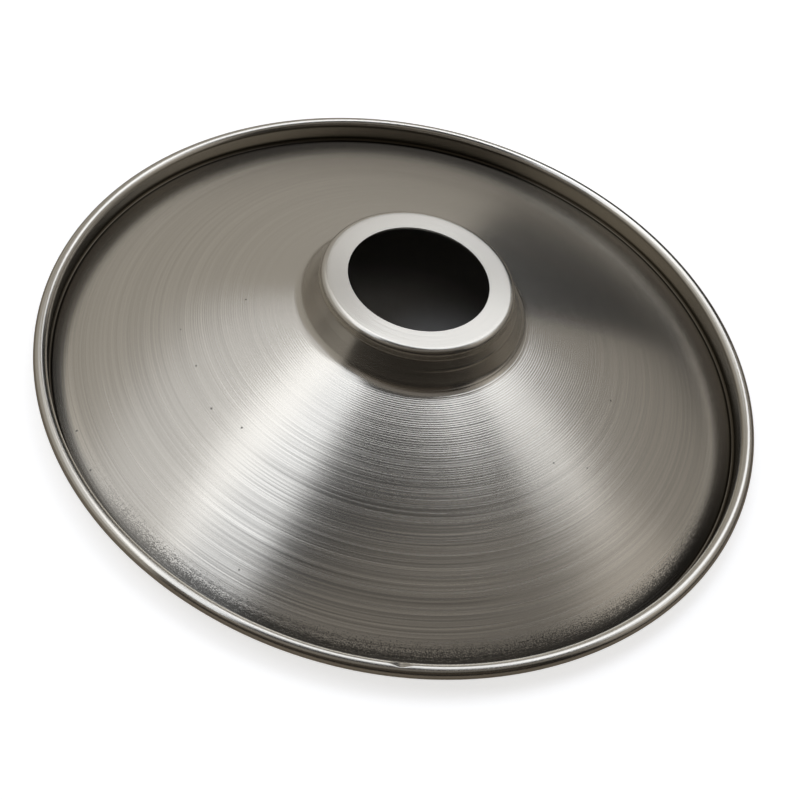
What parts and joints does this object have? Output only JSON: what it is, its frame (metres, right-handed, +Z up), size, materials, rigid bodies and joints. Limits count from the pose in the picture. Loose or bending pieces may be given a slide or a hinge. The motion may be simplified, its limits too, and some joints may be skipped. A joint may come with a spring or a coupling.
{
  "type": "lampshade",
  "caption": "Shallow conical lampshade in spun brushed steel, with a flat-topped neck, a round hole for the lampholder and an upturned rim rolled into a bead.",
  "frame": {"origin": "centre of the ring that the shade stands on, the underside of the gutter fold", "axes": "+Z up along the axis of spinning, from the open rim towards the neck"},
  "size_m": [0.222, 0.222, 0.042],
  "materials": {
    "spun_steel": "satin, brushed round the axis of spinning"
  },
  "bodies": {
    "root": {"shade_shell": "spun_steel"}
  },
  "joints": []
}
